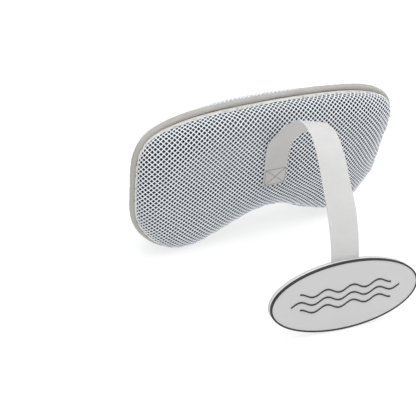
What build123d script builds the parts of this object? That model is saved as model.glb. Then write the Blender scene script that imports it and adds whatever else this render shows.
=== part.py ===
"""Spa headrest pillow with a counterweight strap.

A kidney-shaped foam pillow in a spacer-mesh cover stands on its two lobes.  A webbing strap is sewn
to the middle of its back, rises in an arch and comes down to a weighted oval tag.  In use the strap
goes over the wall of a tub, and the tag outside balances the pillow inside.

Millimetres, +Z up.  The origin is on the floor under the middle of the whole object.  The pillow is
drawn upright about the middle of its seam, with its back towards -Y, and then tipped so that its top
leans over the strap.  Every flat on the floor is cut afterwards.
"""
from build123d import *
import os
from math import cos, pi, radians, sin

# ---- pillow ----
half_length = 139.0      # half the seam line's length along X
half_height = 68.0       # mean half height of the seam line
waist = 6.7              # how much the half height shrinks in the middle and grows at the lobes
arch_rise = 7.5          # how much the centre line rises in the middle
lobe_pitch = 93.7        # distance from the middle to the lowest point of each lobe
outline_points = 32      # points on each closed section
back_lean = 9.3          # the pillow's top leans this far over the strap
seam_y = 65.1            # middle of the seam
seam_z = 80.5
back_depth = 18.0        # how far the back panel stands out from the seam plane
cover_thickness = 3.5    # spacer mesh
seam_inset = 2.5         # the panels meet this far inside the piping's centre line

# Sections of the stuffed cover: distance from the seam plane, inset from the outline, and sag.
back_sections = [(18.0, 31.0, 1.0), (16.3, 17.0, 1.0), (12.5, 8.0, 1.0), (8.0, 3.0, 1.2), (4.0, 1.5, 2.8)]
front_sections = [(8.0, 1.2, 3.0), (18.0, 1.0, 7.5), (28.0, 7.0, 7.5), (38.0, 15.0, 7.0), (45.0, 24.0, 6.0),
                  (50.0, 38.0, 5.0)]

# ---- piping ----
piping_radius = 2.8
cord_radius = 1.7
flange_thickness = 1.2
flange_depth = 8.0       # from the piping's centre line inwards, between the two panels

# ---- webbing strap ----
strap_width = 25.0
strap_thickness = 1.4
strap_yaw = 9.3          # the arch is turned this far about Z, towards -X
foot_bottom = -17.3      # cut end of the sewn foot, from the middle of the seam
foot_top = 2.5
stitch_width = 20.5
stitch_height = 15.0
thread = 0.7             # width of a sewn line
thread_height = 0.4
patch_width = 34.0       # reinforcing patch behind the foot, inside the cover
patch_height = 28.0
patch_thickness = 1.0
joint_gap = 2.4          # bare length of strap left out where it folds

# ---- weighted tag ----
tag_yaw = 6.0            # the tag is turned this far about Z, towards -X
tag_lean = 3.5           # its foot stands this much further out than its top
tag_half_length = 68.0
tag_half_height = 31.0
tag_thickness = 6.4
border = 6.0             # welded border round the weight
rim_width = 1.6
rim_proud = 0.4
plate_thickness = 3.0
tail_length = 14.0       # strap end held inside the tag
tail_bare = 1.6          # bare strap above the tag's edge, down to where it folds
wave_width = 1.3
wave_height = 0.4
wave_rows = [(-7.0, 42.0), (0.0, 50.0), (7.0, 42.0)]    # height on the tag, and half length
wave_length = 24.0
wave_swing = 2.2

# Height of the fold above the tag when the tag's foot stands on the floor.
lean = radians(tag_lean)
fold_z = (2 * tag_half_height + tail_bare) * cos(lean) + (tag_thickness / 2 + rim_proud) * sin(lean)

# Centre line of the strap seen square on: distance out from the foot's cut end, and height.
strap_out = 16.3         # the cut end stands this far out from the middle of the seam
strap_corners = [(5.8, 84.0), (10.2, 112.0), (100.0, 166.0), (149.0, 97.0), (158.5, fold_z + joint_gap / 2)]
strap_radii = [34.0, 34.0, 60.0]


def outline(inset=0.0, sag=0.0):
    """Points of a closed kidney curve, inset from the seam line and lowered by sag.

    A fourth-power ellipse whose half height swells at the lobes, about a centre line that rises in
    the middle as a cosine, which arches the underside and keeps the top nearly straight.
    """
    points = []
    for k in range(outline_points):
        t = 2 * pi * (k + 0.5) / outline_points
        c, s = cos(t), sin(t)
        x = (half_length - inset) * abs(c) ** 0.5 * (1 if c > 0 else -1)
        wave = cos(pi * x / lobe_pitch)
        rise = (half_height - inset - waist * wave) * abs(s) ** 0.5 * (1 if s > 0 else -1)
        points.append((x, arch_rise * wave - sag + rise))
    return points


def section_wire(y, inset, sag):
    """The outline as a closed wire in the plane at y from the seam plane, back negative."""
    points = [Vector(x, y, z) for x, z in outline(inset, sag)]
    return Wire([Edge.make_spline(points, periodic=True)])


def stuffed_body(skin):
    """The pillow's full form, made smaller all round by skin."""
    wires = [section_wire(-(y - skin), inset + skin, sag) for y, inset, sag in back_sections[:3]]
    wires += [section_wire(-y, inset + skin, sag) for y, inset, sag in back_sections[3:]]
    wires.append(section_wire(0, seam_inset + skin, 1.0))
    wires += [section_wire(y, inset + skin, sag) for y, inset, sag in front_sections[:2]]
    wires += [section_wire(y - skin, inset + skin, sag) for y, inset, sag in front_sections[2:]]
    return Solid.make_loft(wires, ruled=True)


def slab(y_low, y_high):
    """A block that spans the pillow between two distances from the seam plane."""
    return Pos(0, (y_low + y_high) / 2, 0) * Box(400, y_high - y_low, 300)


def tipped(piece):
    """A piece of the upright pillow set down where it stands, leaning, and cut off at the floor."""
    standing = Pos(0, seam_y, seam_z) * Rot(back_lean, 0, 0) * piece
    return standing & Pos(0, seam_y, 100) * Box(400, 300, 200)


def make_pillow():
    full = stuffed_body(0.0)
    foam = stuffed_body(cover_thickness)
    shell = full - foam
    half = flange_thickness / 2
    back = shell & slab(-100, -half)
    front = shell & slab(half, 100)
    return foam, back, front


def ring_tube(radius):
    """A tube along the seam line."""
    path = section_wire(0, 0, 0)
    start = path.edges()[0] @ 0
    tangent = path.edges()[0] % 0
    profile = Plane(origin=start, z_dir=tangent) * Circle(radius)
    return sweep(profile, path=path)


def make_piping():
    cord = ring_tube(cord_radius)
    sleeve = ring_tube(piping_radius)
    outer = Face(section_wire(0, 0.0, 0.0))
    inner = Face(section_wire(0, seam_inset + cover_thickness, 1.0))
    flange = extrude(outer - inner, amount=flange_thickness / 2, dir=(0, 1, 0), both=True)
    return sleeve + flange - cord, cord


def make_foot():
    """The sewn end of the strap flat on the back panel, its thread, and the patch behind it."""
    face_y = -back_depth
    height = foot_top - foot_bottom
    foot = Pos(0, face_y - strap_thickness / 2, foot_bottom + height / 2) * Box(
        strap_width, strap_thickness, height)
    stitch_z = foot_top - 1.5 - stitch_height / 2
    plane = Plane(origin=(0, face_y - strap_thickness, stitch_z), x_dir=(1, 0, 0), z_dir=(0, -1, 0))
    rectangle = Rectangle(stitch_width, stitch_height) - Rectangle(
        stitch_width - 2 * thread, stitch_height - 2 * thread)
    slope = Vector(stitch_width, stitch_height, 0).get_angle(Vector(1, 0, 0))
    diagonal = Vector(stitch_width, stitch_height, 0).length - 2 * thread
    cross = Rot(0, 0, slope) * Rectangle(diagonal, thread) + Rot(0, 0, -slope) * Rectangle(diagonal, thread)
    stitching = extrude(plane * (rectangle + cross), amount=thread_height)
    patch_y = face_y + cover_thickness + patch_thickness / 2
    patch = Pos(0, patch_y, stitch_z) * Box(patch_width, patch_thickness, patch_height)
    return foot, stitching, patch


def strap_plane():
    """Plane of the strap's side view: local X goes out from the pillow, local Y goes up."""
    turn = radians(strap_yaw)
    out = Vector(-sin(turn), -cos(turn), 0)
    return Plane(origin=(0, seam_y - strap_out, 0), x_dir=out, z_dir=out.cross(Vector(0, 0, 1)))


def band(path):
    """Webbing along a wire in the strap's plane, its width square to that plane."""
    profile = Plane(origin=path @ 0, x_dir=strap_plane().z_dir, z_dir=path % 0)
    return sweep(profile * Rectangle(strap_width, strap_thickness), path=path)


def make_strap():
    """The arch up to its crown, the drop beyond it, and the crown where the strap folds."""
    plane = strap_plane()
    corners = [plane.from_local_coords(Vector(out, up, 0)) for out, up in strap_corners]
    line = Wire(FilletPolyline(*corners, radius=strap_radii).edges())
    crown = max((line @ (k / 800) for k in range(801)), key=lambda point: point.Z)
    at_crown = line.param_at_point(crown)
    gap = joint_gap / 2 / line.length
    arch = line.trim(0, at_crown - gap)
    drop = line.trim(at_crown + gap, 1)
    return band(arch), band(drop), crown


def tag_plane():
    """The tag's own plane: local X along its length, local Y up the tag, local Z out of its front."""
    fold = strap_plane().from_local_coords(Vector(strap_corners[-1][0] + 0.3, fold_z, 0))
    turn = radians(tag_yaw)
    out = Vector(-sin(turn), -cos(turn), 0)
    up = Vector(0, 0, 1) * cos(lean) - out * sin(lean)
    across = Vector(cos(turn), -sin(turn), 0)
    middle = fold - up * (tag_half_height + tail_bare) + across.cross(up) * (strap_thickness / 2)
    return Plane(origin=middle, x_dir=across, z_dir=across.cross(up)), fold


def oval(inset):
    return Ellipse(tag_half_length - inset, tag_half_height - inset)


def wave(height, half):
    """One wavy line across the tag, a sine ribbon of even width."""
    steps = 24
    xs = [-half + 2 * half * k / steps for k in range(steps + 1)]
    upper = [(x, height + wave_width / 2 + wave_swing * sin(2 * pi * x / wave_length)) for x in xs]
    lower = [(x, z - wave_width) for x, z in reversed(upper)]
    top = Spline(*upper)
    bottom = Spline(*lower)
    return make_face([top, Line(upper[-1], lower[0]), bottom, Line(lower[-1], upper[0])])


def make_tag():
    """Two faces welded round a steel plate, with the strap's end held between them."""
    plane, fold = tag_plane()
    half = tag_thickness / 2
    tail_top = tag_half_height + tail_bare - joint_gap / 2
    tail_middle = tag_half_height - tail_length + (tail_top - tag_half_height + tail_length) / 2
    tail_height = tail_top - tag_half_height + tail_length
    tail = Pos(0, tail_middle, -strap_thickness / 2) * Box(strap_width, tail_height, strap_thickness)
    plate_top = tag_half_height - tail_length - 0.5
    plate_face = oval(border) - Pos(0, plate_top + 50) * Rectangle(300, 100)
    plate = extrude(plate_face, amount=plate_thickness / 2, both=True)
    back = extrude(oval(0), amount=-half)
    back = fillet(back.edges().group_by(Axis.Z)[0], 1.2)
    front = extrude(oval(rim_width), amount=half)
    rim = extrude(oval(0) - oval(rim_width), amount=half + rim_proud)
    rim = fillet(rim.edges().group_by(Axis.Z)[-1], 0.4)
    waves = [extrude(Pos(0, 0, half) * wave(height, length), amount=wave_height)
             for height, length in wave_rows]
    pieces = {
        "weight_back_face": back - plate - tail,
        "weight_front_face": front - plate,
        "weight_rim": rim,
        "weight_plate": plate,
        "strap_tail": tail,
        "wave_emblem": Compound(waves),
    }
    return {name: plane * piece for name, piece in pieces.items()}, fold


def make_all():
    foam, back, front = make_pillow()
    piping, cord = make_piping()
    foot, stitching, patch = make_foot()
    arch, drop, crown = make_strap()
    tag, fold = make_tag()
    pillow = {
        "foam_core": foam - patch - piping,
        "back_cover": back - piping - cord,
        "front_cover": front - piping - cord,
        "piping_cover": piping,
        "piping_cord": cord,
        "strap_foot": foot,
        "box_stitching": stitching,
        "backing_patch": patch,
    }
    nodes = {name: tipped(piece) for name, piece in pillow.items()}
    nodes["strap_arch"] = arch
    nodes["strap_drop"] = drop
    nodes.update(tag)
    return nodes, crown, fold


if __name__ == "__main__":
    os.makedirs("parts", exist_ok=True)
    nodes, crown, fold = make_all()
    for name, shape in nodes.items():
        export_step(shape, f"parts/{name}.step")
    base = strap_plane().from_local_coords(Vector(4.2, 82.4, 0))
    print("arch folds at", base, "crown at", crown, "tag folds at", fold)
    whole = Compound(list(nodes.values())).bounding_box()
    print("whole:", whole.min, whole.max)
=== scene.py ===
import math

import bmesh
import bpy
import numpy as np
from mathutils import Matrix, Vector


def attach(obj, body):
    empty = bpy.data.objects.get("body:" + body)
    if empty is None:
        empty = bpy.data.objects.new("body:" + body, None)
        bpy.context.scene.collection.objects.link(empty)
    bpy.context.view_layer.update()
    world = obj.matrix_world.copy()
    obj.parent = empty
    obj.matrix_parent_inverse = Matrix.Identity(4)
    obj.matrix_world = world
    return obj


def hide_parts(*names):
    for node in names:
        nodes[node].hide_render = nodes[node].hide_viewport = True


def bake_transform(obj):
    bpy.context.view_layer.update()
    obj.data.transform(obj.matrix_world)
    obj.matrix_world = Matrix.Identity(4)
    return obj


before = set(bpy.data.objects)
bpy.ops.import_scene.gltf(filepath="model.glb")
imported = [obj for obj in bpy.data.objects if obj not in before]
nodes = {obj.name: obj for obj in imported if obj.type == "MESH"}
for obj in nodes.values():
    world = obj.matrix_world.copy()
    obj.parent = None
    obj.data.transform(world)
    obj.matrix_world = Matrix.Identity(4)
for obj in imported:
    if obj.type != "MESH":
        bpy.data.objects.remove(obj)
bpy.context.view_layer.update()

# settings shared by the pillow's pieces, in metres and degrees
pillow = dict(
    halfLength=0.139, halfHeight=0.068, waist=0.0067, archRise=0.0075, lobePitch=0.0937,
    lean=9.3, seamY=0.0651, seamZ=0.0805, deepest=0.058, crownReach=0.08,
    endFrom=0.2, endTo=0.8, levelFrom=0.098, levelTo=0.132, levelShare=0.8,
    tuck=0.0098, tuckFrom=0.075, tuckTo=0.13, tuckBelow=0.045, tuckFade=0.07,
    lift=0.0018, liftBelow=-0.01, liftFade=0.045, liftBehind=0.014, liftDepth=0.012,
    liftRight=0.0062, rightFrom=-0.03, rightTo=0.05,
)
# a panel's profile in millimetres: distance from the seam plane, inset from the seam line, sag
backCorners = [
    (0, 2.5, 1), (4, 1.5, 3.6), (8, 3, 2.4), (12.5, 8, 1), (16.3, 17, 1), (18, 31, 1), (18, 40, 1), (18, 58, 1),
]
frontCorners = [
    (0, 2.5, 1), (8, 1.2, 3), (18, 1, 7.5), (28, 7, 7.5), (38, 15, 7), (45, 24, 6), (50, 38, 5), (50, 44, 5),
    (50, 58, 5),
]
# further inset of a panel's ends by distance from the seam plane; the back bulges over the seam at +X only
backEnd = [(0, 0), (4, -2.6), (8, -2.4), (13, 0)]
frontEnds = [(0, 0), (8, 3.2), (18, 8), (28, 8), (38, 6), (50, 2)]
# how far the middle of a panel's top edge stands up, by distance from the seam plane
backCrown = [(0, 0), (20, 0)]
frontCrown = [(0, 0), (8, 1.5), (18, 3.4), (28, 3.4), (38, 2), (46, 0)]


def roundOff(corners, times):
    # each pass cuts every corner of the line at a quarter and three quarters of its sides; the ends stay
    points = np.asarray(corners, float)
    for _ in range(times):
        near = points[:-1] * 0.75 + points[1:] * 0.25
        far = points[:-1] * 0.25 + points[1:] * 0.75
        middle = np.stack([near, far], 1).reshape(-1, points.shape[1])
        points = np.concatenate([points[:1], middle[1:-1], points[-1:]])
    return points


def runLength(points):
    # length along a line of points up to each of them
    return np.concatenate([[0.0], np.cumsum(np.linalg.norm(np.diff(points, axis=0), axis=1))])


class Panel:
    # one side of the cover: its profile by length along the cloth, and the cloth's reach past the seam line
    def __init__(self, corners, outward, ends, crown):
        profile = roundOff(np.array(corners) / 1000, times=4)
        self.depth, self.inset, self.sag = profile.T
        self.run = runLength(profile[:, :2])
        self.spare = self.run[-1] - pillow["deepest"]
        self.outward = outward
        self.ends = np.interp(self.depth, *np.array(ends).T / 1000)
        self.crown = np.interp(self.depth, *np.array(crown).T / 1000)


back = Panel(backCorners, -1, backEnd, backCrown)
front = Panel(frontCorners, 1, frontEnds, frontCrown)


def smoothStep(value, low, high):
    share = np.clip((value - low) / (high - low), 0, 1)
    return share * share * (3 - 2 * share)


def waveAt(x):
    # the cosine along X that the outline's middle line and its half height both follow
    return np.cos(np.pi * x / pillow["lobePitch"])


def nestedInset(across, up, panel):
    # how far inside the seam line the nested outline through each flat point lies, found by halving an interval
    beyond, halvings = 0.012, 34
    low = np.full_like(across, -panel.spare - beyond)
    high = np.full_like(across, pillow["deepest"])
    wave = waveAt(across)
    rise = np.abs(up - pillow["archRise"] * wave)
    for _ in range(halvings):
        middle = (low + high) / 2
        reach = (np.abs(across) / (pillow["halfLength"] - middle)) ** 4
        reach = reach + (rise / (pillow["halfHeight"] - middle - pillow["waist"] * wave)) ** 4
        low = np.where(reach < 1, middle, low)
        high = np.where(reach < 1, high, middle)
    return (low + high) / 2


def unevenness(x, z, cloth):
    # small puckers beside the seam that fade out along the cloth, and slow swells of the stuffing further in
    pucker = np.sin(x * 390 + 3 * np.sin(z * 41)) * np.sin(z * 350 + 2 * np.sin(x * 37 + 1))
    swell = np.sin(x * 47 + 0.6) * np.sin(z * 61 + 1.1) + 0.6 * np.sin(x * 83 + z * 57 + 2.2)
    rise = np.clip(cloth / 0.02, 0, 1) ** 2
    return 0.0005 * pucker * np.exp(-((cloth - 0.007) / 0.006) ** 2) + 0.00035 * swell * rise


def onPanel(shareX, shareZ, cloth, panel):
    # point of the panel: x is a share of the nested outline's half length less the ends' inset, z a share of its
    # half height about the middle line, less the sag, and y the profile's distance at a length along the cloth
    inset = np.interp(cloth, panel.run, panel.inset)
    depth = np.interp(cloth, panel.run, panel.depth)
    sag = np.interp(cloth, panel.run, panel.sag)
    bothEnds = panel.outward > 0
    endShare = 1.0 if bothEnds else smoothStep(shareX, pillow["endFrom"], pillow["endTo"])
    ends = np.interp(cloth, panel.run, panel.ends) * endShare
    x = shareX * (pillow["halfLength"] - inset - ends)
    wave = waveAt(x)
    sag = sag * (1 - pillow["levelShare"] * smoothStep(np.abs(x), pillow["levelFrom"], pillow["levelTo"]))
    middle = np.clip(1 - (x / pillow["crownReach"]) ** 2, 0, 1)
    lift = np.interp(cloth, panel.run, panel.crown) * np.clip(shareZ, 0, 1) * middle
    reach = pillow["halfHeight"] - inset - pillow["waist"] * wave
    z = pillow["archRise"] * wave - sag + lift + shareZ * reach
    y = panel.outward * (depth + unevenness(x, z, cloth))
    return np.stack([x, y, z], -1)


def stand(points):
    # lifts the back's lower edge, tucks in its corner at +X, turns the pillow about X by its lean, moves it to
    # its place and keeps everything above the floor
    lean = math.radians(pillow["lean"])
    x, y, z = np.moveaxis(np.asarray(points, float), -1, 0)
    low = smoothStep(pillow["liftBelow"] - z, 0, pillow["liftFade"])
    low = low * smoothStep(pillow["liftBehind"] - y, 0, pillow["liftDepth"])
    corner = smoothStep(x, pillow["tuckFrom"], pillow["tuckTo"])
    x = x - pillow["tuck"] * corner * smoothStep(pillow["tuckBelow"] - z, 0, pillow["tuckFade"])
    z = z + low * (pillow["lift"] + pillow["liftRight"] * smoothStep(x, pillow["rightFrom"], pillow["rightTo"]))
    standingY = math.cos(lean) * y - math.sin(lean) * z + pillow["seamY"]
    standingZ = math.sin(lean) * y + math.cos(lean) * z + pillow["seamZ"]
    return np.stack([x, standingY, np.maximum(standingZ, 0.0)], -1)


def unit(vectors):
    return vectors / np.maximum(np.linalg.norm(vectors, axis=-1, keepdims=True), 1e-12)


def gridFaces(rows, columns, closeRows=False, closeColumns=False):
    # quads between neighbouring rows and columns of a grid of points
    i = np.arange(rows if closeRows else rows - 1)[:, None]
    j = np.arange(columns if closeColumns else columns - 1)[None, :]
    nextI, nextJ = (i + 1) % rows, (j + 1) % columns
    corners = [i * columns + j, i * columns + nextJ, nextI * columns + nextJ, nextI * columns + j]
    return np.stack([np.broadcast_to(c, (i.size, j.size)) for c in corners], -1).reshape(-1, 4)


def putMesh(name, points, faces, uv=None):
    # makes an object from whole arrays of points and quads; uv is one pair for each point
    points = np.asarray(points, np.float32).reshape(-1, 3)
    faces = np.asarray(faces, np.int32)
    used, faces = np.unique(faces, return_inverse=True)
    points, faces = points[used], faces.reshape(-1, 4).astype(np.int32)
    mesh = bpy.data.meshes.new(name)
    mesh.vertices.add(len(points))
    mesh.vertices.foreach_set("co", points.ravel())
    mesh.loops.add(faces.size)
    mesh.loops.foreach_set("vertex_index", faces.ravel())
    mesh.polygons.add(len(faces))
    mesh.polygons.foreach_set("loop_start", np.arange(0, faces.size, 4, dtype=np.int32))
    mesh.polygons.foreach_set("use_smooth", np.ones(len(faces), bool))
    if uv is not None:
        layer = mesh.uv_layers.new(name="UVMap")
        layer.uv.foreach_set("vector", np.asarray(uv, np.float32).reshape(-1, 2)[used][faces.ravel()].ravel())
    mesh.update(calc_edges=True)
    mesh.validate()
    piece = bpy.data.objects.new(name, mesh)
    bpy.context.scene.collection.objects.link(piece)
    print(name, "has", len(points), "points and", len(faces), "faces")
    return piece


def seamOutline(shareX, shareZ):
    # x and z of the seam line: a superellipse of power four about a middle line that follows the cosine
    x = shareX * pillow["halfLength"]
    wave = waveAt(x)
    return x, pillow["archRise"] * wave + shareZ * (pillow["halfHeight"] - pillow["waist"] * wave)


def evenDirections(count):
    # shares (x, z) of the outline's half sizes at equal steps of length along the seam line, from +X towards +Z
    samples = 4000
    turn = 2 * np.pi * (np.arange(samples) + 0.5) / samples
    shareX = np.sign(np.cos(turn)) * np.sqrt(np.abs(np.cos(turn)))
    shareZ = np.sign(np.sin(turn)) * np.sqrt(np.abs(np.sin(turn)))
    ring = np.stack(seamOutline(shareX, shareZ), 1)
    run = runLength(np.concatenate([ring, ring[:1]]))
    at = run[-1] * np.arange(count) / count
    evenX, evenZ = (np.interp(at, run, np.concatenate([share, share[:1]])) for share in (shareX, shareZ))
    return evenX, evenZ, at


# materials
def tint(red, green, blue):
    # display colour 0..255 to linear light
    share = np.array([red, green, blue], float) / 255
    return (*np.where(share <= 0.04045, share / 12.92, ((share + 0.055) / 1.055) ** 2.4), 1.0)


class Nodes:
    # short calls for building a node tree
    def __init__(self, tree):
        self.tree = tree

    def shade(self, red, green, blue):
        return self.add("ShaderNodeCombineColor", {0: red, 1: green, 2: blue}).outputs[0]

    def add(self, kind, inputs=None, **facts):
        node = self.tree.nodes.new(kind)
        for key, value in facts.items():
            setattr(node, key, value)
        for key, value in (inputs or {}).items():
            self.put(node.inputs[key], value)
        return node

    def put(self, socket, value):
        if isinstance(value, bpy.types.NodeSocket):
            self.tree.links.new(value, socket)
        else:
            socket.default_value = value

    def math(self, operation, a, b=0.0, clamp=False):
        node = self.add("ShaderNodeMath", {0: a, 1: b}, operation=operation, use_clamp=clamp)
        return node.outputs[0]

    def mix(self, factor, a, b, blend="MIX"):
        node = self.add("ShaderNodeMix", data_type="RGBA", blend_type=blend)
        for socket, value in ((node.inputs[0], factor), (node.inputs[6], a), (node.inputs[7], b)):
            self.put(socket, value)
        return node.outputs[2]

    def ramp(self, value, fromLow, fromHigh, toLow=0.0, toHigh=1.0):
        inputs = {0: value, 1: fromLow, 2: fromHigh, 3: toLow, 4: toHigh}
        return self.add("ShaderNodeMapRange", inputs, interpolation_type="SMOOTHSTEP").outputs[0]


def makeGroup(name, inputs, outputs):
    # new shader group with the named sockets; gives its tree, the short calls and its two end nodes
    tree = bpy.data.node_groups.new(name, "ShaderNodeTree")
    for label, kind, value in inputs:
        socket = tree.interface.new_socket(label, in_out="INPUT", socket_type=kind)
        if value is not None:
            socket.default_value = value
    for label, kind in outputs:
        tree.interface.new_socket(label, in_out="OUTPUT", socket_type=kind)
    tools = Nodes(tree)
    return tree, tools, tools.add("NodeGroupInput"), tools.add("NodeGroupOutput")


def grainGroup():
    # fine fibres over a broader mottle: two noises, put out as a colour, a height and a mask
    inputs = [("Vector", "NodeSocketVector", None), ("Color", "NodeSocketColor", None),
              ("Fine Scale", "NodeSocketFloat", 900.0), ("Broad Scale", "NodeSocketFloat", 40.0),
              ("Variation", "NodeSocketFloat", 0.15)]
    outputs = [("Color", "NodeSocketColor"), ("Height", "NodeSocketFloat"), ("Mask", "NodeSocketFloat")]
    tree, tools, come, go = makeGroup("fibreGrain", inputs, outputs)
    fine = tools.add("ShaderNodeTexNoise", {
        "Vector": come.outputs["Vector"], "Scale": come.outputs["Fine Scale"], "Detail": 4.0, "Roughness": 0.6,
    })
    broad = tools.add("ShaderNodeTexNoise", {
        "Vector": come.outputs["Vector"], "Scale": come.outputs["Broad Scale"], "Detail": 3.0,
    })
    fineShare = tools.math("MULTIPLY", fine.outputs[0], 0.45)
    broadShare = tools.math("MULTIPLY", broad.outputs[0], 0.55)
    mask = tools.ramp(tools.math("ADD", fineShare, broadShare), 0.3, 0.7)
    darker = tools.mix(1.0, come.outputs["Color"], tools.shade(0.62, 0.62, 0.63), "MULTIPLY")
    twice = tools.math("MULTIPLY", come.outputs["Variation"], 2.0)
    strength = tools.math("MULTIPLY", tools.math("SUBTRACT", 1.0, mask), twice, clamp=True)
    tools.put(go.inputs["Color"], tools.mix(strength, come.outputs["Color"], darker))
    tools.put(go.inputs["Height"], fine.outputs[0])
    tools.put(go.inputs["Mask"], mask)
    return tree


def weaveGroup():
    # plain weave on a cloth's own coordinates in metres: crossing sine ridges, one on top and then the other
    inputs = [("UV", "NodeSocketVector", None), ("Color", "NodeSocketColor", None),
              ("Across", "NodeSocketFloat", 0.001), ("Along", "NodeSocketFloat", 0.001),
              ("Contrast", "NodeSocketFloat", 0.2)]
    outputs = [("Color", "NodeSocketColor"), ("Height", "NodeSocketFloat")]
    tree, tools, come, go = makeGroup("plainWeave", inputs, outputs)
    split = tools.add("ShaderNodeSeparateXYZ", {0: come.outputs["UV"]})
    turnU = tools.math("DIVIDE", tools.math("MULTIPLY", split.outputs[0], math.pi), come.outputs["Across"])
    turnV = tools.math("DIVIDE", tools.math("MULTIPLY", split.outputs[1], math.pi), come.outputs["Along"])
    sineU, sineV = tools.math("SINE", turnU), tools.math("SINE", turnV)
    ridgeU, ridgeV = tools.math("ABSOLUTE", sineU), tools.math("ABSOLUTE", sineV)
    chequer = tools.ramp(tools.math("MULTIPLY", sineU, sineV), -0.25, 0.25)
    height = tools.math("ADD", tools.math("MULTIPLY", ridgeU, chequer),
                        tools.math("MULTIPLY", ridgeV, tools.math("SUBTRACT", 1.0, chequer)))
    gap = tools.math("MULTIPLY", tools.math("SUBTRACT", 1.0, height), come.outputs["Contrast"], clamp=True)
    shade = tools.mix(1.0, come.outputs["Color"], tools.shade(0.5, 0.5, 0.52), "MULTIPLY")
    tools.put(go.inputs["Color"], tools.mix(gap, come.outputs["Color"], shade))
    tools.put(go.inputs["Height"], height)
    return tree


grain = grainGroup()
weave = weaveGroup()


def makeMaterial(name, roughness, metallic=0.0, sheen=0.0, specular=0.5):
    material = bpy.data.materials.new(name)
    material.use_nodes = True
    tools = Nodes(material.node_tree)
    shader = material.node_tree.nodes["Principled BSDF"]
    shader.inputs["Roughness"].default_value = roughness
    shader.inputs["Metallic"].default_value = metallic
    shader.inputs["Sheen Weight"].default_value = sheen
    shader.inputs["Specular IOR Level"].default_value = specular
    return material, tools, shader


def useGroup(tools, tree, inputs):
    # places a group in a material with its own values
    node = tools.add("ShaderNodeGroup", node_tree=tree)
    for key, value in inputs.items():
        tools.put(node.inputs[key], value)
    return node


def finishMaterial(tools, shader, color, height, distance, strength=0.6):
    bump = tools.add("ShaderNodeBump", {"Height": height, "Distance": distance, "Strength": strength})
    tools.put(shader.inputs["Base Color"], color)
    tools.put(shader.inputs["Normal"], bump.outputs[0])


def fibreMaterial(name, color, fine, broad, variation, bump, roughness, **more):
    # cloth or plastic whose pattern sits in object coordinates
    material, tools, shader = makeMaterial(name, roughness, **more)
    place = tools.add("ShaderNodeTexCoord").outputs["Object"]
    fibres = useGroup(tools, grain, {
        "Vector": place, "Color": color, "Fine Scale": fine, "Broad Scale": broad, "Variation": variation,
    })
    finishMaterial(tools, shader, fibres.outputs["Color"], fibres.outputs["Height"], bump)
    return material


def wovenMaterial(name, color, across, along, contrast, variation, bump, roughness, **more):
    # cloth whose weave follows the piece's own UV map, in metres
    material, tools, shader = makeMaterial(name, roughness, **more)
    place = tools.add("ShaderNodeTexCoord").outputs["Object"]
    cloth = tools.add("ShaderNodeUVMap", uv_map="UVMap").outputs[0]
    fibres = useGroup(tools, grain, {
        "Vector": place, "Color": color, "Fine Scale": 1400.0, "Broad Scale": 60.0, "Variation": variation,
    })
    woven = useGroup(tools, weave, {
        "UV": cloth, "Color": fibres.outputs["Color"], "Across": across, "Along": along, "Contrast": contrast,
    })
    finishMaterial(tools, shader, woven.outputs["Color"], woven.outputs["Height"], bump)
    return material


# the lining's two colours are painted shade: a shaded grey for its strands and near-black for its holes
spacer = dict(
    pitchX=0.005304, pitchZ=0.0050, shiftX=-0.0011, shiftZ=0.0007, driftScale=11.0, driftReach=0.004,
    holeFrom=-0.35, holeTo=0.3, shadedYarn=(94, 102, 112), gap=(14, 17, 23),
)


def shadedLiningMaterial():
    # the mesh's inner face, its colours painted shade for the dark seen down through the lace's holes: near-black
    # where the cosines of the two flat directions agree in sign and a shaded grey elsewhere, with rows a little
    # wider spaced than the outer holes, so the two drift in and out of step
    material, tools, shader = makeMaterial("shadedSpacerLining", 0.85, specular=0.2)
    place = tools.add("ShaderNodeTexCoord").outputs["Object"]
    split = tools.add("ShaderNodeSeparateXYZ", {0: tools.add("ShaderNodeUVMap", uv_map="UVMap").outputs[0]})
    drift = tools.add("ShaderNodeTexNoise", {"Vector": place, "Scale": spacer["driftScale"], "Detail": 1.0})
    shift = tools.math("MULTIPLY", tools.math("SUBTRACT", drift.outputs[0], 0.5), spacer["driftReach"])
    turns = []
    for k, pitch, offset in ((0, spacer["pitchX"], spacer["shiftX"]), (1, spacer["pitchZ"], spacer["shiftZ"])):
        at = tools.math("ADD", tools.math("ADD", split.outputs[k], offset), shift)
        turns.append(tools.math("COSINE", tools.math("MULTIPLY", at, 2 * math.pi / pitch)))
    hole = tools.ramp(tools.math("MULTIPLY", *turns), spacer["holeFrom"], spacer["holeTo"])
    # painted shade: shaded grey strands and near-black holes
    color = tools.mix(hole, tint(*spacer["shadedYarn"]), tint(*spacer["gap"]))
    fibres = useGroup(tools, grain, {
        "Vector": place, "Color": color, "Fine Scale": 1200.0, "Broad Scale": 300.0, "Variation": 0.2,
    })
    finishMaterial(tools, shader, fibres.outputs["Color"], fibres.outputs["Height"], 0.0003)
    return material


def laceMaterial():
    # pale knitted strands with painted light and shade from a point attribute that follows height: whitest on the
    # knots, with painted shade growing greyer down the hole walls
    material, tools, shader = makeMaterial("laceStrands", 0.55, sheen=0.15)
    place = tools.add("ShaderNodeTexCoord").outputs["Object"]
    lift = tools.add("ShaderNodeAttribute", attribute_name="strandPaintedLight").outputs["Fac"]
    # the dark end is a painted shade colour for the bottoms of the holes, mixed up to the strands' own pale colour
    # on the knots
    color = tools.mix(lift, tint(58, 66, 78), tint(247, 251, 255))
    fibres = useGroup(tools, grain, {
        "Vector": place, "Color": color, "Fine Scale": 2600.0, "Broad Scale": 90.0, "Variation": 0.10,
    })
    finishMaterial(tools, shader, fibres.outputs["Color"], fibres.outputs["Height"], 0.0002, 0.4)
    return material


tag = dict(yaw=6.0, lean=3.5, printTo=0.0021, printEdge=0.0024, edge=(30, 30, 31), side=(216, 215, 214))


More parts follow.
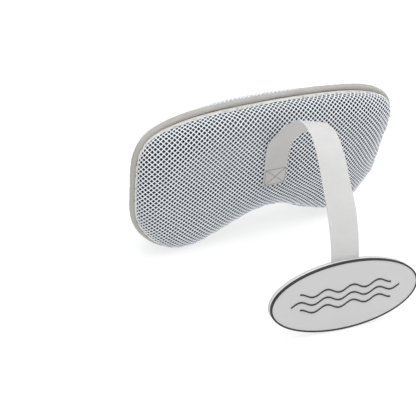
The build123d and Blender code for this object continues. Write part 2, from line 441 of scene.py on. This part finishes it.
def rimMaterial():
    # moulded rim: black to a short distance behind its front plane, and the casing's grey round its sides
    material, tools, shader = makeMaterial("tagRim", 0.42)
    yaw, lean = math.radians(tag["yaw"]), math.radians(tag["lean"])
    facing = np.array([-math.sin(yaw) * math.cos(lean), -math.cos(yaw) * math.cos(lean), math.sin(lean)])
    mesh = nodes["weight_rim"].data
    spots = np.empty(len(mesh.vertices) * 3, np.float32)
    mesh.vertices.foreach_get("co", spots)
    frontPlane = float((spots.reshape(-1, 3) @ facing).max())
    place = tools.add("ShaderNodeTexCoord").outputs["Object"]
    reach = tools.add("ShaderNodeVectorMath", {0: place, 1: tuple(facing)}, operation="DOT_PRODUCT")
    printed = tools.ramp(reach.outputs["Value"], frontPlane - tag["printEdge"], frontPlane - tag["printTo"])
    color = tools.mix(printed, tint(*tag["side"]), tint(*tag["edge"]))
    fibres = useGroup(tools, grain, {
        "Vector": place, "Color": color, "Fine Scale": 1200.0, "Broad Scale": 40.0, "Variation": 0.1,
    })
    finishMaterial(tools, shader, fibres.outputs["Color"], fibres.outputs["Height"], 0.00006)
    return material


laceCloth = laceMaterial()
shadedLiningCloth = shadedLiningMaterial()
tapeCloth = wovenMaterial("bindingTape", tint(180, 177, 171), 0.0011, 0.0011, 0.28, 0.14, 0.00025, 0.62, sheen=0.1)
seamTape = wovenMaterial("seamTape", tint(232, 230, 224), 0.0008, 0.0008, 0.3, 0.10, 0.0002, 0.7)
webbing = wovenMaterial("strapWebbing", tint(203, 202, 201), 0.0010, 0.0016, 0.14, 0.08, 0.0002, 0.66, sheen=0.1)
webbingReverse = wovenMaterial("strapReverse", tint(199, 197, 195), 0.0010, 0.0016, 0.2, 0.10, 0.00025, 0.72)
threadYarn = fibreMaterial("sewingThread", tint(150, 145, 138), 2600.0, 400.0, 0.25, 0.0001, 0.6)
foamCell = fibreMaterial("openCellFoam", tint(236, 230, 205), 620.0, 60.0, 0.35, 0.0009, 0.95)
cordFibre = fibreMaterial("fillerCord", tint(228, 226, 220), 1500.0, 200.0, 0.3, 0.0003, 0.9)
patchCloth = fibreMaterial("backingCloth", tint(214, 212, 208), 1200.0, 90.0, 0.2, 0.0002, 0.85)
tagFace = fibreMaterial("tagFace", tint(199, 198, 198), 1500.0, 25.0, 0.06, 0.00008, 0.5, specular=0.35)
tagRim = rimMaterial()
wavePrint = fibreMaterial("wavePrint", tint(34, 34, 36), 1200.0, 40.0, 0.2, 0.00006, 0.5)
steelSheet = fibreMaterial("cutSteel", tint(150, 152, 155), 500.0, 20.0, 0.3, 0.0001, 0.38, metallic=1.0)
print("materials made")

nodeFinish = {
    "backing_patch": patchCloth, "weight_plate": steelSheet, "weight_back_face": tagFace,
    "weight_front_face": tagFace, "weight_rim": tagRim, "wave_emblem": wavePrint, "strap_tail": patchCloth,
}
for nodeName, material in nodeFinish.items():
    nodes[nodeName].data.materials.clear()
    nodes[nodeName].data.materials.append(material)

# laced mesh panels
lace = dict(
    pitchX=0.0052, pitchZ=0.0048, holeCorner=0.00176, holeSide=0.00130, lipDrop=0.00025, wall=0.0010,
    knotRise=0.00018, rimAt=0.0034, rimOver=0.0012, drift=0.0004, sidePaintedLight=0.9, lipPaintedLight=0.74, tooSmall=2e-9,
)
probe = 0.0004  # step either side of a point when a surface's direction is taken
ringSteps = np.array([(2, 0), (1, 1), (0, 2), (-1, 1), (-2, 0), (-1, -1), (0, -2), (1, -1)])


def clothToPanel(across, up, panel, rim):
    # flat cloth to the stuffed panel: nested inset becomes length along the profile, held at the rim
    inset = nestedInset(across, up, panel)
    wave = waveAt(across)
    shareX = across / (pillow["halfLength"] - inset)
    shareZ = (up - pillow["archRise"] * wave) / (pillow["halfHeight"] - inset - pillow["waist"] * wave)
    return onPanel(shareX, shareZ, np.maximum(inset + panel.spare, rim), panel)


def tileCentres(panel, stepX, stepZ):
    # centres of the diamonds in quarter pitches: every other point of an even grid, inside the cloth's rim
    reachX = int((pillow["halfLength"] + panel.spare) / stepX) // 2 * 2 + 4
    reachZ = int((pillow["halfHeight"] + 0.018 + panel.spare) / stepZ) // 2 * 2 + 4
    u, v = np.meshgrid(np.arange(-reachX, reachX + 1, 2), np.arange(-reachZ, reachZ + 1, 2), indexing="ij")
    keep = (u - v) % 4 == 0
    centres = np.stack([u[keep], v[keep]], 1)
    cloth = nestedInset(centres[:, 0] * stepX, centres[:, 1] * stepZ, panel) + panel.spare
    return centres[cloth > lace["rimAt"] - lace["rimOver"]]


def lacePanel(name, panel):
    # tiles the flat cloth with diamonds, each with an eight-sided hole, and lays them over the stuffed panel
    stepX, stepZ = lace["pitchX"] / 4, lace["pitchZ"] / 4
    centres = tileCentres(panel, stepX, stepZ)
    keys = (centres[:, None, :] + ringSteps[None]).reshape(-1, 2)
    shared, index = np.unique(keys, axis=0, return_inverse=True)
    ring = index.reshape(-1, 8)
    turn = np.arange(8) * np.pi / 4
    size = np.where(np.arange(8) % 2 == 0, lace["holeCorner"], lace["holeSide"])
    lipSteps = np.stack([np.cos(turn) * size, np.sin(turn) * size], 1)
    lips = (centres[:, None, :] * [stepX, stepZ] + lipSteps[None]).reshape(-1, 2)
    flat = np.concatenate([shared * [stepX, stepZ], lips])
    driftX = lace["drift"] * np.sin(flat[:, 1] * 70 + 1.3) * np.sin(flat[:, 0] * 23)
    driftZ = lace["drift"] * np.sin(flat[:, 0] * 61 + 0.4) * np.cos(flat[:, 1] * 31)
    flat = flat + np.stack([driftX, driftZ], 1)

    def place(dx, dz):
        return clothToPanel(flat[:, 0] + dx, flat[:, 1] + dz, panel, lace["rimAt"])

    base = place(0, 0)
    alongX = place(probe, 0) - place(-probe, 0)
    alongZ = place(0, probe) - place(0, -probe)
    normal = unit(np.cross(alongX, alongZ)) * -panel.outward
    count, tiles = len(shared), len(centres)
    knot = (shared % 2 == 0).all(1)
    rise = np.concatenate([np.where(knot, lace["knotRise"], 0.0), np.full(tiles * 8, -lace["lipDrop"])])
    top = base + normal * rise[:, None]
    low = base - normal * lace["wall"]
    points = stand(np.concatenate([top, low]))
    lip = count + np.arange(tiles * 8).reshape(-1, 8)
    under = count + tiles * 8
    nextRing, nextLip = np.roll(ring, -1, 1), np.roll(lip, -1, 1)
    faces = np.concatenate([
        np.stack([ring, nextRing, nextLip, lip], -1).reshape(-1, 4),
        np.stack([lip, nextLip, nextLip + under, lip + under], -1).reshape(-1, 4),
        np.stack([lip, nextLip, nextRing, ring], -1).reshape(-1, 4) + under,
    ])
    if panel.outward > 0:
        faces = faces[:, ::-1]
    corner = points[faces]
    area = np.linalg.norm(np.cross(corner[:, 2] - corner[:, 0], corner[:, 3] - corner[:, 1]), axis=1) / 2
    faces = faces[area > lace["tooSmall"]]
    # painted light and shade per point: full on the knots, a little less on the strands, less at the hole lips,
    # and none at the bottoms of the hole walls, which is painted shade
    lift = np.where(knot, 1.0, lace["sidePaintedLight"])
    lift = np.concatenate([lift, np.full(tiles * 8, lace["lipPaintedLight"]), np.zeros(len(flat))])
    used = np.unique(faces)
    piece = putMesh(name, points, faces)
    layer = piece.data.attributes.new("strandPaintedLight", "FLOAT", "POINT")
    layer.data.foreach_set("value", lift[used].astype(np.float32))
    piece.data.materials.append(laceCloth)
    print(name, "has", tiles, "holes")
    return piece


# smooth bodies under the lace
under = dict(
    around=224, rings=44, foamRings=30, liningTop=0.0021, liningLow=0.0032, foam=0.0037, foamStart=0.0042,
    crowding=1.15, sinkWithin=0.007,
)
innerShares = np.array([0.66, 0.33, 0.0])  # of the way from the middle line out to the last ring


def ringLengths(panel, start, rings):
    # lengths along the cloth of the rings of a layer, a little closer together near the seam
    return start + (panel.run[-1] - start) * np.linspace(0, 1, rings) ** under["crowding"]


def panelLayer(panel, lift, start, count, rings):
    # grid of rings from the seam to the middle line of a panel, sunk below its surface by lift
    shareX, shareZ, _ = evenDirections(count)
    cloth = ringLengths(panel, start, rings)
    x, z = np.broadcast_to(shareX, (rings, count)), np.broadcast_to(shareZ, (rings, count))
    outer = onPanel(x, z, np.broadcast_to(cloth[:, None], (rings, count)), panel)
    spine = outer[-1].copy()
    spine[:, 2] = pillow["archRise"] * waveAt(spine[:, 0]) - panel.sag[-1]
    inner = spine[None] + (outer[-1] - spine)[None] * innerShares[:, None, None]
    points = np.concatenate([outer, inner])
    around = np.roll(points, -1, 1) - np.roll(points, 1, 1)
    inward = np.gradient(points, axis=0)
    normal = unit(np.cross(around, inward)) * -panel.outward
    normal[-len(innerShares):] = [0, panel.outward, 0]
    sink = np.concatenate([lift * np.clip(cloth / under["sinkWithin"], 0, 1), np.full(len(innerShares), lift)])
    return points - normal * sink[:, None, None]


def flatPlaces(panel, start, count, rings):
    # where the points of panelLayer lie on the flat cloth, as pairs in metres
    shareX, shareZ, _ = evenDirections(count)
    inset = (ringLengths(panel, start, rings) - panel.spare)[:, None]
    across = shareX * (pillow["halfLength"] - inset)
    wave = waveAt(across)
    middle = pillow["archRise"] * wave
    up = middle + shareZ * (pillow["halfHeight"] - inset - pillow["waist"] * wave)
    across = np.concatenate([across, np.repeat(across[-1:], len(innerShares), 0)])
    up = np.concatenate([up, middle[-1] + (up[-1] - middle[-1]) * innerShares[:, None]])
    return np.stack([across, up], -1)


def closeDoubles(piece, distance):
    # merges points that meet, drops faces with no area and turns the rest outwards
    shape = bmesh.new()
    shape.from_mesh(piece.data)
    bmesh.ops.remove_doubles(shape, verts=shape.verts, dist=distance)
    bmesh.ops.dissolve_degenerate(shape, edges=shape.edges, dist=distance)
    bmesh.ops.recalc_face_normals(shape, faces=shape.faces)
    shape.to_mesh(piece.data)
    shape.free()
    piece.data.update()


def makeLining(name, panel):
    # thin closed shell: an outer and an inner layer of rings that meet at the seam and close on the middle line
    outer = panelLayer(panel, under["liningTop"], 0.0, under["around"], under["rings"])
    inner = panelLayer(panel, under["liningLow"], 0.0, under["around"], under["rings"])
    inner[0] = outer[0]
    rows, columns = outer.shape[:2]
    faces = gridFaces(rows, columns, closeColumns=True)
    points = stand(np.concatenate([outer.reshape(-1, 3), inner.reshape(-1, 3)]))
    flat = flatPlaces(panel, 0.0, under["around"], under["rings"]).reshape(-1, 2)
    faces = np.concatenate([faces, faces[:, ::-1] + rows * columns])
    piece = putMesh(name, points, faces, np.concatenate([flat, flat]))
    closeDoubles(piece, 1e-5)
    piece.data.materials.append(shadedLiningCloth)
    return piece


def makeFoam():
    # crowned closed form: the two panels' shapes, sunk by the cover's thickness and joined round their edges
    settings = under["foam"], under["foamStart"], under["around"], under["foamRings"]
    stack = np.concatenate([panelLayer(back, *settings)[::-1], panelLayer(front, *settings)])
    rows, columns = stack.shape[:2]
    piece = putMesh("foamCore", stand(stack), gridFaces(rows, columns, closeColumns=True))
    closeDoubles(piece, 1e-5)
    piece.data.materials.append(foamCell)
    return piece


backLace = lacePanel("backLace", back)
frontLace = lacePanel("frontLace", front)
# the dark linings under the lace carry the painted shade seen through its holes
backLining = makeLining("backLining", back)
frontLining = makeLining("frontLining", front)
foamCore = makeFoam()

# piping and the tape beside it
piping = dict(
    radius=0.00285, stations=640, sides=18, coreRadius=0.0017, coreStations=320, coreSides=10, wobble=0.00012,
)


def seamLine(count):
    # points of the seam line at equal steps, and their lengths along it
    shareX, shareZ, at = evenDirections(count)
    x, z = seamOutline(shareX, shareZ)
    return np.stack([x, np.zeros_like(x), z], 1), at


def makePiping(name, size, stations, sides, cloth):
    # circle carried along the seam line, its radius a little uneven along the way
    line, at = seamLine(stations)
    tangent = unit(np.roll(line, -1, 0) - np.roll(line, 1, 0))
    outward = np.stack([tangent[:, 2], np.zeros(len(line)), -tangent[:, 0]], 1)
    turn = 2 * np.pi * np.arange(sides) / sides
    radius = size + piping["wobble"] * (np.sin(at * 610) * np.sin(at * 233 + 1) + np.sin(at * 97))
    sideways = np.array([0.0, 1.0, 0.0])
    ring = np.cos(turn)[None, :, None] * outward[:, None] + np.sin(turn)[None, :, None] * sideways
    points = line[:, None] + ring * radius[:, None, None]
    uv = np.stack(np.broadcast_arrays((turn * size)[None], at[:, None]), -1)
    faces = gridFaces(*points.shape[:2], closeRows=True, closeColumns=True)
    piece = putMesh(name, stand(points), faces, uv)
    closeDoubles(piece, 1e-6)
    piece.data.materials.append(cloth)
    return piece


band = dict(start=0.0010, end=0.0038, least=0.0001, rise=0.0005, climb=0.0010, sunk=0.0006, columns=8)


def makeSeamBand(name, panel):
    # narrow sewn tape on the edge of the lace: a low arch between two lengths along the cloth, climbing towards
    # the piping and closed underneath
    shareX, shareZ, at = evenDirections(piping["stations"])
    across = np.linspace(0, 1, band["columns"])
    cloth = band["start"] + (band["end"] - band["start"]) * across
    arch = np.sqrt(np.clip(1 - (2 * across - 1) ** 4, 0, 1))
    rise = band["least"] + band["rise"] * arch + band["climb"] * (1 - across) ** 2

    def grid(step):
        return onPanel(*np.broadcast_arrays(shareX[:, None], shareZ[:, None], (cloth + step)[None]), panel)

    base = grid(0.0)
    inward = grid(probe) - grid(-probe)
    around = np.roll(base, -1, 0) - np.roll(base, 1, 0)
    normal = unit(np.cross(around, inward)) * -panel.outward
    top = base + normal * rise[None, :, None]
    low = base - normal * band["sunk"]
    loop = np.concatenate([top, low[:, ::-1]], 1)
    uv = np.stack(np.broadcast_arrays(np.concatenate([cloth, cloth[::-1]])[None], at[:, None]), -1)
    faces = gridFaces(*loop.shape[:2], closeRows=True, closeColumns=True)
    piece = putMesh(name, stand(loop), faces, uv)
    closeDoubles(piece, 1e-6)
    piece.data.materials.append(seamTape)
    return piece


pipingTube = makePiping("piping", piping["radius"], piping["stations"], piping["sides"], tapeCloth)
pipingCore = makePiping(
    "pipingCore", piping["coreRadius"], piping["coreStations"], piping["coreSides"], cordFibre)
backBand = makeSeamBand("backSeamTape", back)
frontBand = makeSeamBand("frontSeamTape", front)

# webbing strap
strap = dict(
    width=0.025, thickness=0.0014, yaw=9.3, roll=-11.0, footOut=0.0163, footDepth=0.01885,
    footHeights=(-0.0173, -0.004, 0.004), columns=15, spacing=0.0011,
    corners=[  # millimetres out from the pillow and up from the floor
        (3.6, 84), (7, 99), (17, 113), (36, 127), (58, 142), (80, 154.5), (104, 153.5), (120, 140), (135, 118),
        (147, 101), (155, 82),
    ],
    tagFold=(-0.025663, -0.107913, 0.063701), tailSteps=(0.003, -0.006, -0.0155), midArch=0.30, midDrop=0.80,
    yawShares=(0.08, 0.2), tagShares=(0.8, 0.95), rollIn=(0.2, 0.4), rollOut=(0.6, 0.85),
)


def strapLine():
    # centre line of the strap: up the pillow's back, over the arch, down to the tag and into it, its corners
    # rounded by cutting and its points evenly spaced
    yaw, tagYaw, tagLean = math.radians(strap["yaw"]), math.radians(tag["yaw"]), math.radians(tag["lean"])
    foot = stand(np.array([[0, -strap["footDepth"], height] for height in strap["footHeights"]]))
    out = np.array([-math.sin(yaw), -math.cos(yaw), 0])
    origin = np.array([0, pillow["seamY"] - strap["footOut"], 0])
    arch = np.array([origin + out * x / 1000 + np.array([0, 0, z / 1000]) for x, z in strap["corners"]])
    fold = np.array(strap["tagFold"])
    up = np.array([
        math.sin(tagYaw) * math.sin(tagLean), math.cos(tagYaw) * math.sin(tagLean), math.cos(tagLean),
    ])
    tail = np.array([fold + up * step for step in strap["tailSteps"]])
    fine = roundOff(np.concatenate([foot, arch, tail]), times=5)
    run = runLength(fine)
    count = int(run[-1] / strap["spacing"])
    at = np.linspace(0, run[-1], count)
    return np.stack([np.interp(at, run, fine[:, k]) for k in range(3)], 1), at


line, along = strapLine()
total = along[-1]
share = along / total
turnAt = np.radians(strap["yaw"]) * smoothStep(share, *strap["yawShares"])
turnAt = turnAt + np.radians(tag["yaw"] - strap["yaw"]) * smoothStep(share, *strap["tagShares"])
rollAt = np.radians(strap["roll"]) * smoothStep(share, *strap["rollIn"])
rollAt = rollAt * (1 - smoothStep(share, *strap["rollOut"]))
tangent = unit(np.gradient(line, axis=0))
wide = np.stack([np.cos(turnAt), -np.sin(turnAt), np.sin(rollAt)], 1)
wide = unit(wide - tangent * (wide * tangent).sum(1, keepdims=True))
thick = np.cross(wide, tangent)


def makeStrap(name, first, last):
    # flat section with rounded edges carried along a stretch of the centre line, its ends closed; the faces on
    # the far side from the drop's outer face take the webbing's reverse
    across = np.linspace(-1, 1, strap["columns"])
    half = strap["thickness"] / 2 * np.clip(1 - np.abs(across) ** 12, 0.2, 1) ** 0.5
    rows = slice(first, last)
    side = line[rows, None] + wide[rows, None] * (across * strap["width"] / 2)[None, :, None]
    top = side + thick[rows, None] * half[None, :, None]
    low = side - thick[rows, None] * half[None, :, None]
    loop = np.concatenate([top, low[:, ::-1]], 1)
    rowsCount, columns = loop.shape[:2]
    faces = gridFaces(rowsCount, columns, closeColumns=True)
    j = np.arange(strap["columns"] - 1)
    cap = np.stack([j, j + 1, columns - 2 - j, columns - 1 - j], -1)
    faces = np.concatenate([faces, cap[:, ::-1], cap + (rowsCount - 1) * columns])
    place = np.concatenate([across, across[::-1]]) * strap["width"] / 2
    uv = np.stack(np.broadcast_arrays(place[None], along[rows, None]), -1)
    piece = putMesh(name, loop, faces, uv)
    closeDoubles(piece, 1e-7)
    piece.data.set_sharp_from_angle(angle=math.radians(60))
    piece.data.materials.append(webbing)
    piece.data.materials.append(webbingReverse)
    polygons = piece.data.polygons
    normals, middles = np.empty(len(polygons) * 3, np.float32), np.empty(len(polygons) * 3, np.float32)
    polygons.foreach_get("normal", normals)
    polygons.foreach_get("center", middles)
    nearest = np.argmin(np.linalg.norm(middles.reshape(-1, 1, 3) - line[None, rows], axis=2), axis=1) + first
    facing = (normals.reshape(-1, 3) * thick[nearest]).sum(1) > 0
    polygons.foreach_set("material_index", facing.astype(np.int32))
    return piece


cutA, cutB = int(len(line) * strap["midArch"]), int(len(line) * strap["midDrop"])
strapRear = makeStrap("strapRear", 0, cutA + 1)
strapCrown = makeStrap("strapCrown", cutA, cutB + 1)
strapFront = makeStrap("strapFront", cutB, len(line))

# thread of the sewn box and cross
sewing = dict(
    width=0.0222, height=0.0167, top=0.0006, stitch=0.0030, gap=0.0003, radius=0.00030, flatness=0.9,
    lift=0.0002, rings=9, sides=8,
)


def makeStitches():
    # short rounded strands end to end along four sides and two diagonals, each dipping into the webbing at its
    # ends: a circle carried along a straight line, its radius falling to nothing at both ends
    halfWidth, low, top = sewing["width"] / 2, sewing["top"] - sewing["height"], sewing["top"]
    corners = [(-halfWidth, low), (halfWidth, low), (halfWidth, top), (-halfWidth, top)]
    lines = [(corners[k], corners[(k + 1) % 4]) for k in range(4)]
    lines += [(corners[0], corners[2]), (corners[1], corners[3])]
    starts, ends = [], []
    for a, b in lines:
        a, b = np.array(a), np.array(b)
        count = max(1, round(float(np.linalg.norm(b - a)) / (sewing["stitch"] + sewing["gap"])))
        edge = sewing["gap"] / (sewing["stitch"] + sewing["gap"]) / 2
        at = np.arange(count)[:, None]
        starts.append(a + (b - a) * (at + edge) / count)
        ends.append(a + (b - a) * (at + 1 - edge) / count)
    starts, ends = np.concatenate(starts), np.concatenate(ends)
    share = (1 - np.cos(np.linspace(0, np.pi, sewing["rings"]))) / 2
    turn = 2 * np.pi * np.arange(sewing["sides"]) / sewing["sides"]
    way = unit(ends - starts)
    side = np.stack([-way[:, 1], way[:, 0]], 1)
    radius = sewing["radius"] * np.sqrt(np.clip(1 - (2 * share - 1) ** 4, 0.0, 1))
    middle = starts[:, None] + (ends - starts)[:, None] * share[None, :, None]
    sideways = side[:, None, None] * (np.cos(turn)[None, None, :] * radius[None, :, None])[..., None]
    flat = middle[:, :, None] + sideways
    outer = strap["footDepth"] + strap["thickness"] / 2 + sewing["lift"] * (1 - (2 * share - 1) ** 2)
    depth = outer[None, :, None] + np.sin(turn)[None, None, :] * radius[None, :, None] * sewing["flatness"]
    depth = np.broadcast_to(depth, flat.shape[:3])
    points = np.stack([flat[..., 0], -depth, flat[..., 1]], -1)
    faces = gridFaces(sewing["rings"], sewing["sides"], closeColumns=True)
    pointsEach = sewing["rings"] * sewing["sides"]
    faces = (faces[None] + pointsEach * np.arange(len(starts))[:, None, None]).reshape(-1, 4)
    piece = putMesh("boxStitches", stand(points), faces)
    closeDoubles(piece, 2e-6)
    piece.data.materials.append(threadYarn)
    return piece


boxStitches = makeStitches()
print("pieces made")

# what each piece stands for and rides on
pillowPieces = [
    (backLace, "mesh"), (frontLace, "mesh"), (backLining, "mesh"), (frontLining, "mesh"), (foamCore, "foam"),
    (pipingTube, "piping"), (pipingCore, "cord"), (backBand, "piping"), (frontBand, "piping"),
    (boxStitches, "thread"),
]
for piece, slotName in pillowPieces:
    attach(piece, "pillow")
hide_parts("back_cover")
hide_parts("front_cover")
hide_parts("foam_core")
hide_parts("piping_cover")
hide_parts("piping_cord")
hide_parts("box_stitching")
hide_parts("strap_foot", "strap_arch")
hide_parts("strap_drop", "strap_tail")


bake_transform(strapRear)
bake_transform(strapCrown)
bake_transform(strapFront)

# floor, light and camera
studio = dict(
    eye=(-0.4275, -0.6522, 0.4316), azimuth=-26.96, elevation=25.82, sensor=36.0, lens=81.086538,
    aim=(0, 0, 0.05), floorSize=3.4, floorLevel=-0.0003, sky=0.60, skySeen=1.1, floorGlow=0.66,
    lamps=[
        ("keyLamp", (-0.5, -0.9, 1.5), 1.3, 9.5), ("topLamp", (0.1, -0.1, 1.6), 1.6, 15.0),
        ("sideLamp", (1.3, -0.5, 0.9), 1.0, 3.0),
    ],
)
floorCorners = np.array([(-1, -1), (1, -1), (1, 1), (-1, 1)]) * studio["floorSize"] / 2
floorPiece = putMesh("floor", np.insert(floorCorners, 2, studio["floorLevel"], axis=1), [(0, 1, 2, 3)])
# the floor glows: painted light that lifts it to plain white and fills its cast shadows to faint ones, its base
# colour set low to match
glowingFloor = fibreMaterial("glowingFloor", tint(170, 170, 170), 8.0, 1.0, 0.01, 0.0001, 0.9, specular=0.1)
floorShader = glowingFloor.node_tree.nodes["Principled BSDF"]
floorShader.inputs["Emission Color"].default_value = (1, 1, 1, 1)
floorShader.inputs["Emission Strength"].default_value = studio["floorGlow"]
floorPiece.data.materials.append(glowingFloor)

world = bpy.data.worlds.new("studio")
bpy.context.scene.world = world
world.use_nodes = True
background = world.node_tree.nodes["Background"]
background.inputs[0].default_value = (0.97, 0.985, 1.0, 1)
# the sky lights the object softly and is plain white where it is seen
skyTools = Nodes(world.node_tree)
seen = skyTools.add("ShaderNodeLightPath").outputs["Is Camera Ray"]
strength = skyTools.add("ShaderNodeMapRange", {0: seen, 3: studio["sky"], 4: studio["skySeen"]})
skyTools.put(background.inputs[1], strength.outputs[0])


def standAt(holder, place, backward):
    # puts a lamp or camera at a place, looking the other way from backward, and links it
    turned = backward.to_track_quat("Z", "Y").to_matrix().to_4x4()
    holder.matrix_world = Matrix.Translation(place) @ turned
    bpy.context.scene.collection.objects.link(holder)


for lampName, place, width, power in studio["lamps"]:
    lamp = bpy.data.lights.new(lampName, "AREA")
    lamp.size, lamp.energy = width, power
    standAt(bpy.data.objects.new(lampName, lamp), place, Vector(place) - Vector(studio["aim"]))

camera = bpy.data.cameras.new("camera")
camera.sensor_width = studio["sensor"]
camera.lens = studio["lens"]
camera.clip_start = 0.05
holder = bpy.data.objects.new("camera", camera)
azimuth, elevation = math.radians(studio["azimuth"]), math.radians(studio["elevation"])
level = math.cos(elevation)
backward = Vector((math.sin(azimuth) * level, -math.cos(azimuth) * level, math.sin(elevation)))
standAt(holder, studio["eye"], backward)
bpy.context.scene.camera = holder
bpy.context.scene.view_settings.view_transform = "Standard"
